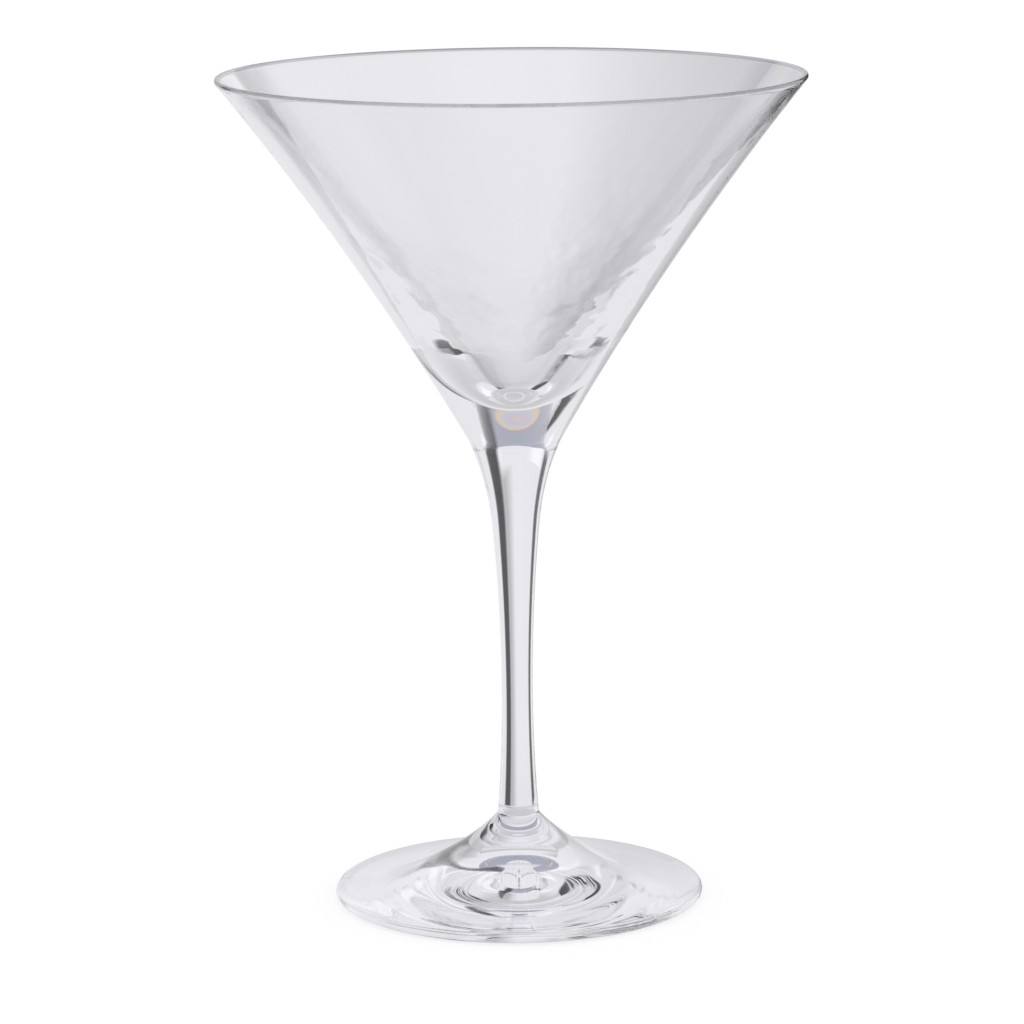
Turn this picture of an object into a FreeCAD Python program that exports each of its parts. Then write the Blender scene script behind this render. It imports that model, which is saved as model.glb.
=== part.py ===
import FreeCAD, Part
import math
import os

# A martini glass, made as three pieces of clear glass that are fused hot, end to end:
# a blown bowl, a drawn stem and a spun foot. Millimetres, +Z up along the glass's axis,
# with the origin at the centre of the ring that the foot rests on.
# Every piece is turned about Z from an outline in the XZ plane: x is the radius, z the height.

# Whole glass
rim_diameter = 118.0
glass_height = 168.8
foot_diameter = 75.4

# Bowl
rim_wall = 1.1              # thickness of the wall and of its rounded lip at the rim
rim_lean = 38.5             # degrees that the flared wall leans out from vertical at the rim
shoulder_radius = 10.2      # where the cavity's wall starts to curve in towards its bottom
shoulder_height = 110.7
cavity_turn_radius = 4.0    # where that curve runs into the small round bottom
cavity_turn_height = 105.65

# Stem
upper_weld_height = 95.7    # stem to bowl
upper_weld_radius = 9.74
collar_height = 94.5        # where the flare turns more sharply, to run into the bowl's wall
collar_radius = 9.13
knee_height = 78.3          # where the stem starts to flare towards the bowl
knee_radius = 4.9
waist_height = 42.9         # the thinnest place
waist_radius = 3.18
lower_weld_height = 18.0    # foot to stem
lower_weld_radius = 4.15

# Foot
hub_fillet_radius = 1.8     # from the lower weld into the foot's sloping top
hub_slope = 46.0            # degrees below horizontal where the fillet ends
edge_thickness = 1.8        # of the rounded edge
edge_lift = 0.3             # gap between the rounded edge and the table
ring_radius = 34.0          # outside of the flat ring that rests on the table
ring_width = 3.2
underside_slope = 5.7       # degrees above horizontal where the hollow underside leaves the ring
dimple_radius = 6.2         # of the small dome in the middle of the underside
dimple_height = 4.1         # of the dome's edge
underside_rise = 5.4        # height of the underside at the axis


def point(radius, height):
    """A point of an outline in the XZ plane."""
    return FreeCAD.Vector(radius, 0, height)


def heading(degrees):
    """A unit direction in the XZ plane, counted from straight up towards the outside."""
    return point(math.sin(math.radians(degrees)), math.cos(math.radians(degrees)))


def outward(direction):
    """The direction a quarter turn clockwise from the given one: outward where it points up."""
    return point(direction.z, -direction.x)


def line(start, end):
    return Part.LineSegment(start, end).toShape()


def arc(start, middle, end):
    return Part.Arc(start, middle, end).toShape()


def tangent_arc(start, direction, end):
    """An arc that leaves start along direction and reaches end, with its direction there."""
    side = outward(direction)
    chord = end - start
    radius = chord.dot(chord) / (2 * chord.dot(side))
    centre = start + side * radius
    half_way = (start + end) * 0.5 - centre
    middle = centre + half_way * (abs(radius) / half_way.Length)
    end_direction = chord * (2 * chord.dot(direction) / chord.dot(chord)) - direction
    return arc(start, middle, end), end_direction


def turned(edges):
    """The solid that a closed outline sweeps in one full turn about Z."""
    outline = Part.Face(Part.Wire(edges))
    return outline.revolve(point(0, 0), FreeCAD.Vector(0, 0, 1), 360)


def make_bowl():
    """A thin flared cone on a thick round bottom, with a fire-polished lip."""
    lip_radius = rim_wall / 2
    lip_centre = point(rim_diameter / 2 - lip_radius, glass_height - lip_radius)
    up_the_wall = heading(rim_lean)
    lip_outside = lip_centre + outward(up_the_wall) * lip_radius
    lip_tip = lip_centre + up_the_wall * lip_radius
    lip_inside = lip_centre - outward(up_the_wall) * lip_radius

    weld_centre = point(0, upper_weld_height)
    weld_edge = point(upper_weld_radius, upper_weld_height)
    outer_wall, _ = tangent_arc(lip_outside, up_the_wall * -1, weld_edge)

    cavity_turn = point(cavity_turn_radius, cavity_turn_height)
    shoulder = point(shoulder_radius, shoulder_height)
    inner_wall, down_the_wall = tangent_arc(lip_inside, up_the_wall * -1, shoulder)
    lower_wall, down_the_wall = tangent_arc(shoulder, down_the_wall, cavity_turn)
    towards_axis = outward(down_the_wall)
    bottom_radius = -cavity_turn_radius / towards_axis.x
    bottom_centre = cavity_turn + towards_axis * bottom_radius
    cavity_bottom = point(0, bottom_centre.z - bottom_radius)
    round_bottom, _ = tangent_arc(cavity_turn, down_the_wall, cavity_bottom)

    lip = arc(lip_outside, lip_tip, lip_inside)
    axis = line(cavity_bottom, weld_centre)
    weld = line(weld_centre, weld_edge)
    return turned([weld, outer_wall, lip, inner_wall, lower_wall, round_bottom, axis])


def make_stem():
    """A solid rod, waisted below its middle and flared at the top to meet the bowl."""
    foot_end = point(lower_weld_radius, lower_weld_height)
    waist = point(waist_radius, waist_height)
    knee = point(knee_radius, knee_height)
    collar_start = point(collar_radius, collar_height)
    bowl_end = point(upper_weld_radius, upper_weld_height)

    lower_length, _ = tangent_arc(waist, heading(180), foot_end)
    upper_length, up_the_knee = tangent_arc(waist, heading(0), knee)
    flare, up_the_flare = tangent_arc(knee, up_the_knee, collar_start)
    collar, _ = tangent_arc(collar_start, up_the_flare, bowl_end)

    bowl_face = line(bowl_end, point(0, upper_weld_height))
    axis = line(point(0, upper_weld_height), point(0, lower_weld_height))
    foot_face = line(point(0, lower_weld_height), foot_end)
    return turned([foot_face, lower_length, upper_length, flare, collar, bowl_face, axis])


def make_foot():
    """A spun disc with a hub in the middle and a hollow underside, resting on a flat ring."""
    weld_edge = point(lower_weld_radius, lower_weld_height)
    fillet_centre = weld_edge + point(hub_fillet_radius, 0)
    down_the_hub = heading(90 + hub_slope)
    fillet_end = fillet_centre + outward(down_the_hub) * hub_fillet_radius
    fillet, _ = tangent_arc(weld_edge, heading(180), fillet_end)

    edge_radius = edge_thickness / 2
    edge_centre = point(foot_diameter / 2 - edge_radius, edge_lift + edge_radius)
    edge_top = edge_centre + point(0, edge_radius)
    edge_outside = edge_centre + point(edge_radius, 0)
    edge_bottom = edge_centre - point(0, edge_radius)
    top, _ = tangent_arc(fillet_end, down_the_hub, edge_top)
    edge = arc(edge_top, edge_outside, edge_bottom)

    ring_outside = point(ring_radius, 0)
    ring_inside = ring_outside - point(ring_width, 0)
    underside_centre = point(0, underside_rise)
    dimple_edge = point(dimple_radius, dimple_height)
    dimple, _ = tangent_arc(underside_centre, heading(90), dimple_edge)
    underside, _ = tangent_arc(ring_inside, heading(underside_slope - 90), dimple_edge)
    border, _ = tangent_arc(ring_outside, heading(90), edge_bottom)
    ring = line(ring_outside, ring_inside)

    weld_centre = point(0, lower_weld_height)
    axis = line(underside_centre, weld_centre)
    weld = line(weld_centre, weld_edge)
    return turned([weld, fillet, top, edge, border, ring, underside, dimple, axis])


os.makedirs("parts", exist_ok=True)
pieces = {"bowl": make_bowl(), "stem": make_stem(), "foot": make_foot()}
for node, shape in pieces.items():
    shape.exportStep("parts/" + node + ".step")
    print(node, "valid:", shape.isValid(), "volume, cm3:", round(shape.Volume / 1000, 2))
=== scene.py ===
import math

import bpy
import numpy as np
from mathutils import Matrix, Vector


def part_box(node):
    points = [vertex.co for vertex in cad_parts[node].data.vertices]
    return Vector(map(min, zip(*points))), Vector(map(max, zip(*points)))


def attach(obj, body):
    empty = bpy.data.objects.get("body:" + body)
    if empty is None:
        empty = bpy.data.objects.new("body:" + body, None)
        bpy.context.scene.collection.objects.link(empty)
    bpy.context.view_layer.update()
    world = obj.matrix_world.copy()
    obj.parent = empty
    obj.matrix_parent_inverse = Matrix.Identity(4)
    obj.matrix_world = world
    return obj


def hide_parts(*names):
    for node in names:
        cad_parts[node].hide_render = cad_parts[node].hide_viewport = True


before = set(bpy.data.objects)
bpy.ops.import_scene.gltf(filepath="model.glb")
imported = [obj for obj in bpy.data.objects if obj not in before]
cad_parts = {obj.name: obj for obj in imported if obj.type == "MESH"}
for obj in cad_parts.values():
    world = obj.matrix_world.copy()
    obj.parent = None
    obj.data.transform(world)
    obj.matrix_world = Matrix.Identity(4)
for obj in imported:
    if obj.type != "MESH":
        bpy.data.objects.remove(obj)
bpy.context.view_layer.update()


# ---------------------------------------------------------------------------------------------
# Bowl. Thin flared cone of clear glass on a thick solid bottom, blown in a mould and then
# fire-polished at the rim, so that its lip is round. Its flat lower face is fused to the stem.

MM = 0.001
rim_wall = 1.1 * MM
rim_lean = 38.5
cavity_shoulder = np.array([10.2, 110.7]) * MM
cavity_turn = np.array([4.0, 105.65]) * MM
upper_weld_radius = 9.74 * MM

# The blown surface is nearly even above thin_wall_height and most uneven at thick_wall_height.
# It is polished again below polished_height.
thin_wall_height = 146 * MM
thick_wall_height = 122 * MM
polished_height = 111 * MM
lip_depth = 0.6 * MM
streak_light = (1.0, 1.0, 1.0)
streak_dark = (0.962, 0.96, 0.975)
# Painted shade: a grey colour on the top of the lip, which draws the dark line that the rim shows.
lip_painted_shade = (0.47, 0.47, 0.49)
light_let_through = (0.93, 0.93, 0.94)
clear = (1.0, 1.0, 1.0)


class Socket:
    """A shader socket that takes part in Python arithmetic. Each operator adds one Math node."""

    def __init__(self, tree, link):
        self.tree = tree
        self.link = link

    def math(self, operation, *values):
        return self.tree.node("ShaderNodeMath", {"operation": operation}, dict(enumerate(values)))

    def other(self, name):
        """Another output of the node that this socket belongs to."""
        return Socket(self.tree, self.link.node.outputs[name])

    def __add__(self, other):
        return self.math("ADD", self, other)

    def __radd__(self, other):
        return self.math("ADD", other, self)

    def __mul__(self, other):
        return self.math("MULTIPLY", self, other)

    def __rmul__(self, other):
        return self.math("MULTIPLY", other, self)

    def __gt__(self, other):
        return self.math("GREATER_THAN", self, other)

    def __lt__(self, other):
        return self.math("LESS_THAN", self, other)

    def __or__(self, other):
        return self.math("MAXIMUM", self, other)

    def __ror__(self, other):
        return self.math("MAXIMUM", other, self)


class Finish:
    """The node tree of a material or a world."""

    def __init__(self, owner):
        self.owner = owner
        owner.use_nodes = True
        self.nodes = owner.node_tree.nodes
        self.links = owner.node_tree.links
        self.nodes.clear()

    def node(self, kind, settings=None, inputs=None, output=0):
        """Adds a node, makes its settings, then fills its sockets with values or links."""
        made = self.nodes.new(kind)
        for name, value in (settings or {}).items():
            if name == "stops":
                ramp = made.color_ramp.elements
                while len(ramp) < len(value):
                    ramp.new(0.5)
                for stop, (position, colour) in zip(ramp, value):
                    stop.position = position
                    stop.color = (*colour, 1)
            else:
                setattr(made, name, value)
        for name, value in (inputs or {}).items():
            if isinstance(value, Socket):
                self.links.new(value.link, made.inputs[name])
            else:
                made.inputs[name].default_value = value
        return Socket(self, made.outputs[output]) if made.outputs else None

    def surface(self, shader, kind="ShaderNodeOutputMaterial"):
        """Ends the tree with this shader, and gives the material or world that it belongs to."""
        self.node(kind, None, {"Surface": shader})
        return self.owner

    def between(self, value, start, end, low=0.0, high=1.0):
        """Low where value is at start, high where it is at end, and held outside them."""
        return self.node(
            "ShaderNodeMapRange", None, {0: value, 1: start, 2: end, 3: low, 4: high})

    def see_through(self, colour):
        return self.node("ShaderNodeBsdfTransparent", None, {"Color": (*colour, 1)})


def clear_glass(finish, colour, normal):
    """Polished glass. Lamps and the light off the floor pass straight through it."""
    glass = finish.node(
        "ShaderNodeBsdfPrincipled", None,
        {"Base Color": colour, "Roughness": 0.0, "IOR": 1.51, "Transmission Weight": 1.0,
         "Normal": normal})
    shadow_ray = finish.node("ShaderNodeLightPath", None, None, "Is Shadow Ray")
    lighting_ray = shadow_ray | shadow_ray.other("Is Diffuse Ray")
    passing = finish.see_through(light_let_through)
    return finish.surface(
        finish.node("ShaderNodeMixShader", None, {0: lighting_ray, 1: glass, 2: passing}))


def turned_coordinates(finish):
    """A point of a turned piece in three ways: its place, its height, and its bearing from the
    axis as a level unit vector."""
    place = finish.node("ShaderNodeTexCoord", None, None, "Object")
    height = finish.node("ShaderNodeSeparateXYZ", None, {0: place}, "Z")
    level = finish.node(
        "ShaderNodeVectorMath", {"operation": "MULTIPLY"}, {0: place, 1: (1.0, 1.0, 0.0)})
    bearing = finish.node("ShaderNodeVectorMath", {"operation": "NORMALIZE"}, {0: level})
    return place, height, bearing


def drawn_out(finish, bearing, height, rate):
    """Texture coordinates round the piece, whose pattern changes up it at the given rate."""
    upright = finish.node("ShaderNodeCombineXYZ", None, {"Z": height * rate})
    return finish.node("ShaderNodeVectorMath", {"operation": "ADD"}, {0: bearing, 1: upright})


def direction(degrees):
    """A unit vector (radius, height), counted from straight up towards the outside."""
    return np.array([math.sin(math.radians(degrees)), math.cos(math.radians(degrees))])


def outward(along):
    """The direction a quarter turn clockwise from the given one: outward where it points up."""
    return np.array([along[1], -along[0]])


def tangent_arc(start, along, end, steps):
    """Points of the arc that leaves start in the direction along and reaches end, and its
    direction there."""
    start, end = np.array(start), np.array(end)
    side = outward(along)
    chord = end - start
    radius = chord @ chord / (2 * chord @ side)
    centre = start + side * radius
    leaving, arriving = start - centre, end - centre
    turn = math.atan2(
        leaving[0] * arriving[1] - leaving[1] * arriving[0], leaving @ arriving)
    angles = np.linspace(0, turn, steps + 1)
    points = centre + np.outer(np.cos(angles), leaving) + np.outer(
        np.sin(angles), (-leaving[1], leaving[0]))
    return points, chord * (2 * (chord @ along) / (chord @ chord)) - along


def up_to_edge(points, gap=0.02 * MM):
    """The points with one more just short of the last, so that shading turns only at the edge."""
    last, before = points[-1], points[-2]
    near = last + (before - last) * (gap / np.linalg.norm(before - last))
    return np.vstack([points[:-1], [near], [last]])


def turned(name, outline, slots, weld_rows, segments=288):
    """A closed mesh turned about Z from an outline of (radius, height) rows. The first and the
    last row lie on the axis. Faces between the rows in weld_rows take the second slot."""
    turns = np.arange(segments) * (2 * math.pi / segments)
    radius, height = outline[1:-1, :1], outline[1:-1, 1:]
    rings = np.stack(np.broadcast_arrays(
        radius * np.cos(turns), radius * np.sin(turns), height), axis=-1)
    points = [(0, 0, outline[0][1])] + rings.reshape(-1, 3).tolist() + [(0, 0, outline[-1][1])]
    last = len(points) - 1
    rows = len(radius)
    top = 1 + (rows - 1) * segments
    faces, welded = [], []
    for i in range(segments):
        j = (i + 1) % segments
        faces.append((0, 1 + j, 1 + i))
        welded.append(0 in weld_rows)
        for row in range(rows - 1):
            low, high = 1 + row * segments, 1 + (row + 1) * segments
            faces.append((low + i, low + j, high + j, high + i))
            welded.append(row + 1 in weld_rows)
        faces.append((top + i, top + j, last))
        welded.append(rows in weld_rows)
    mesh = bpy.data.meshes.new(name)
    mesh.from_pydata(points, [], faces)
    mesh.polygons.foreach_set("material_index", [int(weld) for weld in welded])
    mesh.polygons.foreach_set("use_smooth", [not weld for weld in welded])
    for slot in slots:
        mesh.materials.append(slot)
    mesh.validate()
    mesh.update()
    piece = bpy.data.objects.new(name, mesh)
    bpy.context.scene.collection.objects.link(piece)
    return piece


bowl_low, bowl_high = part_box("bowl")
upper_weld_height = bowl_low.z
lip_radius = rim_wall / 2
lip_centre = np.array([bowl_high.x - lip_radius, bowl_high.z - lip_radius])
up_the_wall = direction(rim_lean)
lip_outside = lip_centre + outward(up_the_wall) * lip_radius
lip_tip = lip_centre + up_the_wall * lip_radius
lip_inside = lip_centre - outward(up_the_wall) * lip_radius
upper_weld_edge = (upper_weld_radius, upper_weld_height)

outer_wall, _ = tangent_arc(lip_outside, -up_the_wall, upper_weld_edge, steps=90)
outer_lip, _ = tangent_arc(lip_outside, up_the_wall, lip_tip, steps=6)
inner_lip, _ = tangent_arc(lip_tip, -outward(up_the_wall), lip_inside, steps=6)
inner_wall, down_the_wall = tangent_arc(lip_inside, -up_the_wall, cavity_shoulder, steps=80)
lower_wall, down_the_wall = tangent_arc(cavity_shoulder, down_the_wall, cavity_turn, steps=40)
towards_axis = outward(down_the_wall)
bottom_radius = -cavity_turn[0] / towards_axis[0]
cavity_bottom = (0, (cavity_turn + towards_axis * bottom_radius)[1] - bottom_radius)
round_bottom, _ = tangent_arc(cavity_turn, down_the_wall, cavity_bottom, steps=40)
bowl_outline = np.vstack([
    [(0, upper_weld_height)],
    up_to_edge(outer_wall)[::-1],
    outer_lip[1:],
    inner_lip[1:],
    inner_wall[1:],
    lower_wall[1:],
    round_bottom[1:],
])

finish = Finish(bpy.data.materials.new("bowl_glass"))
place, height, bearing = turned_coordinates(finish)
streaks = finish.node(
    "ShaderNodeTexNoise", None,
    {"Vector": drawn_out(finish, bearing, height, rate=4.0), "Scale": 2.2, "Detail": 2.0,
     "Roughness": 0.45})
wall_tint = finish.node(
    "ShaderNodeValToRGB", {"stops": [(0.36, streak_dark), (0.62, streak_light)]}, {0: streaks})
# The top lip_depth of the bowl takes the painted shade colour, a grey rim line.
on_lip = height > bowl_high.z - lip_depth
# Sockets 6 and 7 of this node are its two colours, and 2 is its colour output.
colour = finish.node(
    "ShaderNodeMix", {"data_type": "RGBA"}, {"Factor": on_lip, 6: wall_tint, 7: (*lip_painted_shade, 1)}, 2)
unevenness = finish.node(
    "ShaderNodeTexNoise", None, {"Vector": place, "Scale": 150.0, "Detail": 1.5, "Roughness": 0.5})
in_thick_wall = finish.between(height, thin_wall_height, thick_wall_height, low=0.15)
above_polish = finish.between(height, polished_height, thick_wall_height)
normal = finish.node(
    "ShaderNodeBump", None,
    {"Strength": 1.0, "Distance": 0.2 * MM, "Height": unevenness * in_thick_wall * above_polish})
bowl_glass = clear_glass(finish, colour, normal)

# The hidden face of each weld, where the two glasses are one and light goes straight on.
finish = Finish(bpy.data.materials.new("weld_face"))
weld_face = finish.surface(finish.see_through(clear))

bowl = turned("bowl_blown", bowl_outline, [bowl_glass, weld_face], {0})
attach(bowl, "root")
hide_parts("bowl")


# ---------------------------------------------------------------------------------------------
# Stem. Solid rod of the same glass, drawn out of a gather until it is waisted, then cut and
# fused to the bowl above and to the foot below.

lower_weld_radius = 4.15 * MM
waist = np.array([3.18, 42.9]) * MM
knee = np.array([4.9, 78.3]) * MM
collar_start = np.array([9.13, 94.5]) * MM
faint_tint = (0.955, 0.955, 0.98)

stem_low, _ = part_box("stem")
lower_weld_height = stem_low.z
lower_weld_edge = (lower_weld_radius, lower_weld_height)
lower_length, _ = tangent_arc(waist, direction(180), lower_weld_edge, steps=40)
upper_length, up_the_knee = tangent_arc(waist, direction(0), knee, steps=50)
flare, up_the_flare = tangent_arc(knee, up_the_knee, collar_start, steps=40)
collar, _ = tangent_arc(collar_start, up_the_flare, upper_weld_edge, steps=16)
stem_outline = np.vstack([
    [(0, lower_weld_height)],
    up_to_edge(lower_length)[::-1],
    upper_length[1:],
    flare[1:],
    up_to_edge(collar)[1:],
    [(0, upper_weld_height)],
])

finish = Finish(bpy.data.materials.new("stem_glass"))
place, height, bearing = turned_coordinates(finish)
draw_lines = finish.node(
    "ShaderNodeTexNoise", None,
    {"Vector": drawn_out(finish, bearing, height, rate=6.0), "Scale": 3.0, "Detail": 2.0})
colour = finish.node(
    "ShaderNodeValToRGB", {"stops": [(0.35, faint_tint), (0.65, clear)]}, {0: draw_lines})
normal = finish.node(
    "ShaderNodeBump", None, {"Strength": 0.2, "Distance": 0.03 * MM, "Height": draw_lines})
stem_glass = clear_glass(finish, colour, normal)

stem = turned("stem_drawn", stem_outline, [stem_glass, weld_face], {0, len(stem_outline) - 2})
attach(stem, "root")
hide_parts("stem")


# ---------------------------------------------------------------------------------------------
# Foot. Disc spun out of a hot gather on the end of the stem, which leaves a small hub, faint
# rings from the tool and a hollow underside with a dimple. It rests on its outer ring.

hub_fillet = 1.8 * MM
hub_slope = 46.0
edge_thickness = 1.8 * MM
edge_lift = 0.3 * MM
ring_radius = 34.0 * MM
ring_width = 3.2 * MM
underside_slope = 5.7
dimple_radius = 6.2 * MM
dimple_height = 4.1 * MM
underside_rise = 5.4 * MM

foot_low, foot_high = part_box("foot")
floor_height = foot_low.z
down_the_hub = direction(90 + hub_slope)
fillet_centre = np.array([lower_weld_radius + hub_fillet, lower_weld_height])
fillet_end = fillet_centre + outward(down_the_hub) * hub_fillet
edge_radius = edge_thickness / 2
edge_centre = np.array([foot_high.x - edge_radius, floor_height + edge_lift + edge_radius])
edge_top = edge_centre + (0, edge_radius)
edge_outside = edge_centre + (edge_radius, 0)
edge_bottom = edge_centre - (0, edge_radius)
ring_outside = (ring_radius, floor_height)
ring_inside = (ring_radius - ring_width, floor_height)
dimple_edge = (dimple_radius, floor_height + dimple_height)
underside_centre = (0, floor_height + underside_rise)

fillet, _ = tangent_arc(lower_weld_edge, direction(180), fillet_end, steps=12)
foot_top, _ = tangent_arc(fillet_end, down_the_hub, edge_top, steps=130)
upper_edge, _ = tangent_arc(edge_top, direction(90), edge_outside, steps=8)
lower_edge, _ = tangent_arc(edge_outside, direction(180), edge_bottom, steps=8)
border, _ = tangent_arc(ring_outside, direction(90), edge_bottom, steps=6)
dimple, _ = tangent_arc(underside_centre, direction(90), dimple_edge, steps=30)
underside, _ = tangent_arc(ring_inside, direction(underside_slope - 90), dimple_edge, steps=90)
foot_outline = np.vstack([
    dimple,
    underside[::-1][1:],
    border,
    lower_edge[::-1][1:],
    upper_edge[::-1][1:],
    foot_top[::-1][1:],
    up_to_edge(fillet[::-1])[1:],
    [(0, lower_weld_height)],
])

finish = Finish(bpy.data.materials.new("foot_glass"))
place, height, bearing = turned_coordinates(finish)
ripples = finish.node(
    "ShaderNodeTexWave", {"wave_type": "RINGS", "rings_direction": "Z"},
    {"Vector": place, "Scale": 55.0, "Distortion": 1.2, "Detail": 1.0, "Detail Scale": 0.6})
patches = finish.node("ShaderNodeTexNoise", None, {"Vector": place, "Scale": 60.0, "Detail": 2.0})
colour = finish.node(
    "ShaderNodeValToRGB", {"stops": [(0.35, faint_tint), (0.65, clear)]}, {0: patches})
normal = finish.node(
    "ShaderNodeBump", None, {"Strength": 0.25, "Distance": 0.06 * MM, "Height": ripples})
foot_glass = clear_glass(finish, colour, normal)

foot = turned("foot_spun", foot_outline, [foot_glass, weld_face], {len(foot_outline) - 2})
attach(foot, "root")
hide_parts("foot")


# ---------------------------------------------------------------------------------------------
# Floor and room. A pale seamless floor in a pale room, which the glass sees a little darker
# than the camera does, and darker still below.

floor_width = 60.0
floor_white = (0.93, 0.93, 0.93)
room_white = (1.0, 1.0, 1.0)
room_strength = 1.12
room_below = (0.59, 0.59, 0.615)
room_above = (0.83, 0.825, 0.86)

# Light bounces along inside the bowl's thin wall many times before it gets out.
bounces_in_glass = 160

scene = bpy.context.scene
scene.view_settings.view_transform = "Standard"
scene.cycles.use_denoising = True
scene.cycles.max_bounces = bounces_in_glass
scene.cycles.transmission_bounces = bounces_in_glass
scene.cycles.glossy_bounces = bounces_in_glass
scene.cycles.transparent_max_bounces = 32
scene.cycles.caustics_reflective = False
scene.cycles.caustics_refractive = False

finish = Finish(bpy.data.materials.new("floor_paper"))
floor_paper = finish.surface(
    finish.node("ShaderNodeBsdfDiffuse", None, {"Color": (*floor_white, 1)}))
far = floor_width / 2
floor_mesh = bpy.data.meshes.new("floor")
floor_mesh.from_pydata(
    [(-far, -far, 0), (far, -far, 0), (far, far, 0), (-far, far, 0)], [], [(0, 1, 2, 3)])
floor_mesh.materials.append(floor_paper)
floor = bpy.data.objects.new("floor", floor_mesh)
scene.collection.objects.link(floor)
floor.location.z = floor_height
floor.visible_transmission = False
floor.visible_glossy = False

scene.world = bpy.data.worlds.new("room")
finish = Finish(scene.world)
place = finish.node("ShaderNodeTexCoord", None, None, "Generated")
upwards = finish.node("ShaderNodeSeparateXYZ", None, {0: place}, "Z")
room_colour = finish.node(
    "ShaderNodeValToRGB", {"stops": [(0.15, room_below), (0.36, room_above)]},
    {0: upwards * 0.5 + 0.5})
around = finish.node("ShaderNodeBackground", None, {"Color": room_colour})
seen = finish.node(
    "ShaderNodeBackground", None, {"Color": (*room_white, 1), "Strength": room_strength})
camera_ray = finish.node("ShaderNodeLightPath", None, None, "Is Camera Ray")
direct_ray = camera_ray | camera_ray.other("Is Diffuse Ray")
finish.surface(
    finish.node("ShaderNodeMixShader", None, {0: direct_ray, 1: around, 2: seen}),
    "ShaderNodeOutputWorld")


# ---------------------------------------------------------------------------------------------
# Camera and light cards. The camera looks slightly down at the glass. The cards stand in a ring
# round it and turn with the camera. Only the glass sees them, and they give it its outlines.

camera_place = Vector((-0.7, -857.2, 250.8)) * MM
camera_tilt, camera_roll = -0.1967, -0.0101  # radians
rig_height = 90 * MM
top_fade = 0.15
card_steps = 24
card_white = (1, 1, 1.03)
card_cool = (1, 1.03, 1.25)

# name, azimuth from straight behind, spread, lowest and highest elevation, distance, radiance,
# share of the spread that each side fades over, colour
rig = [
    ("right_flag", 25.5, 21, -28, 50, 0.5, 0.04, 0.2, card_white),
    ("right_veil", 13, 22, -28, 12, 0.52, 0.45, 0.5, card_white),
    ("left_flag", -42.5, 18, -28, 30, 0.5, 0.05, 0.25, card_white),
    ("upper_card", 0, 90, 27.5, 70, 1.0, 0.37, 0.1, card_cool),
    ("left_kicker", -24, 24, 14, 27, 0.9, 1.0, 0.3, card_white),
    ("right_kicker", 24, 24, 14, 27, 0.9, 1.0, 0.3, card_white),
    ("right_box", 72, 40, -30, 12, 0.6, 1.0, 0.2, card_white),
    ("left_box", -78, 34, 10, 32, 0.65, 1.0, 0.2, card_white),
    ("left_side_card", -92, 16, -20, 8, 0.6, 0.45, 0.5, card_white),
    ("right_side_card", 94, 12, -20, 6, 0.61, 0.6, 0.5, card_white),
]

camera_data = bpy.data.cameras.new("camera")
camera_data.sensor_width = 36.0
camera_data.lens = 151.6
camera = bpy.data.objects.new("camera", camera_data)
scene.collection.objects.link(camera)
camera.matrix_world = (
    Matrix.Translation(camera_place)
    @ Matrix.Rotation(math.pi / 2 + camera_tilt, 4, "X")
    @ Matrix.Rotation(camera_roll, 4, "Z")
)
scene.camera = camera
bpy.context.view_layer.update()


def upright_card(name, azimuth, spread, low, high, distance, steps, shading, material):
    """A curved card that stands upright. Each point's shade is what the shading function makes
    of how far across and how far up the card it lies, both from 0 to 1."""
    points, faces, shades = [], [], []
    for i in range(steps + 1):
        across = i / steps
        a = math.radians(azimuth + spread * (across - 0.5))
        for j in range(steps + 1):
            up = j / steps
            height = rig_height + distance * math.tan(math.radians(low + (high - low) * up))
            points.append((distance * math.sin(a), distance * math.cos(a), height))
            shades.append(shading(across, up))
    for i in range(steps):
        for j in range(steps):
            k = i * (steps + 1) + j
            faces.append((k, k + steps + 1, k + steps + 2, k + 1))
    mesh = bpy.data.meshes.new(name)
    mesh.from_pydata(points, [], faces)
    mesh.attributes.new("shade", "FLOAT", "POINT").data.foreach_set("value", shades)
    mesh.materials.append(material)
    made = bpy.data.objects.new(name, mesh)
    scene.collection.objects.link(made)
    made.visible_camera = False
    made.visible_diffuse = False
    made.visible_shadow = False
    made.parent = camera
    made.matrix_parent_inverse = camera.matrix_world.inverted()


def soft_edges(softness):
    """Shading that fades out at both sides of a card, and at its top."""
    def shade(across, up):
        return min(1.0, min(across, 1 - across) / softness, (1 - up) / top_fade)
    return shade


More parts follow.
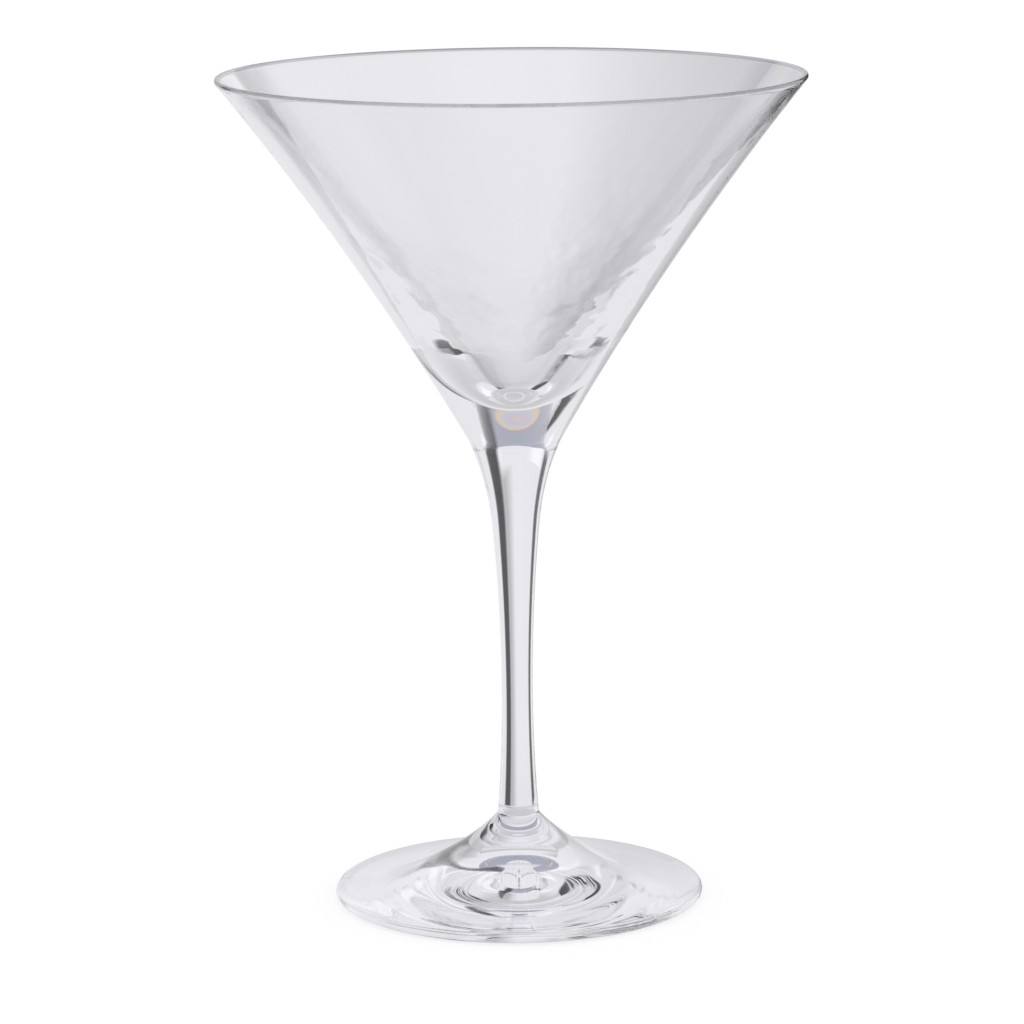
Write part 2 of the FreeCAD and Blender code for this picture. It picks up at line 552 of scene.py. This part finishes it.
for name, azimuth, spread, low, high, distance, radiance, softness, colour in rig:
    finish = Finish(bpy.data.materials.new(name))
    glow = finish.node("ShaderNodeEmission", None, {"Color": (*colour, 1), "Strength": radiance})
    shade = finish.node("ShaderNodeAttribute", {"attribute_name": "shade"}, None, "Fac")
    glowing = finish.surface(finish.node(
        "ShaderNodeMixShader", None, {0: shade, 1: finish.see_through(clear), 2: glow}))
    upright_card(
        name, azimuth, spread, low, high, distance, card_steps, soft_edges(softness), glowing)

# A small gel of coloured rings in front of the upper card, for the patch of colour that strained
# glass shows. The thick bottom of the bowl magnifies it, and so would bend straight rings.
gel_azimuth, gel_spread = -2.0, 44.0
gel_low, gel_high = 29.6, 40.0
gel_distance = 0.95
gel_steps = 90
gel_middle, gel_half_height, gel_half_width = 31.75, 1.3, 18.3
gel_bow = 0.0135  # degrees up per square degree sideways
gel_squareness = 3  # 2 makes the rings ellipses, more makes them squarer
gel_rings = [
    (0.05, (0.56, 0.60, 0.46)),
    (0.22, (0.62, 0.50, 0.55)),
    (0.45, (0.52, 0.53, 0.68)),
    (0.66, (0.62, 0.58, 0.48)),
    (0.80, (0.72, 0.52, 0.36)),
    (0.93, (0.34, 0.37, 0.46)),
]

finish = Finish(bpy.data.materials.new("gel"))
ring = finish.node("ShaderNodeAttribute", {"attribute_name": "shade"}, None, "Fac")
ring_colour = finish.node("ShaderNodeValToRGB", {"stops": gel_rings}, {0: ring})
glow = finish.node("ShaderNodeEmission", None, {"Color": ring_colour, "Strength": 1.0})
past_rings = finish.between(ring, 0.92, 1.0)
coloured = finish.surface(finish.node(
    "ShaderNodeMixShader", None, {0: past_rings, 1: glow, 2: finish.see_through(clear)}))


def ring_number(across, up):
    """0 in the middle of the gel, 1 at its outermost ring."""
    sideways = gel_spread * (across - 0.5)
    elevation = gel_low + (gel_high - gel_low) * up
    bend = gel_bow * (gel_azimuth + sideways) ** 2
    u = abs(sideways) / gel_half_width
    v = abs(elevation - bend - gel_middle) / gel_half_height
    return (u ** gel_squareness + v ** gel_squareness) ** (1 / gel_squareness)


upright_card(
    "gel", gel_azimuth, gel_spread, gel_low, gel_high, gel_distance, gel_steps, ring_number,
    coloured)
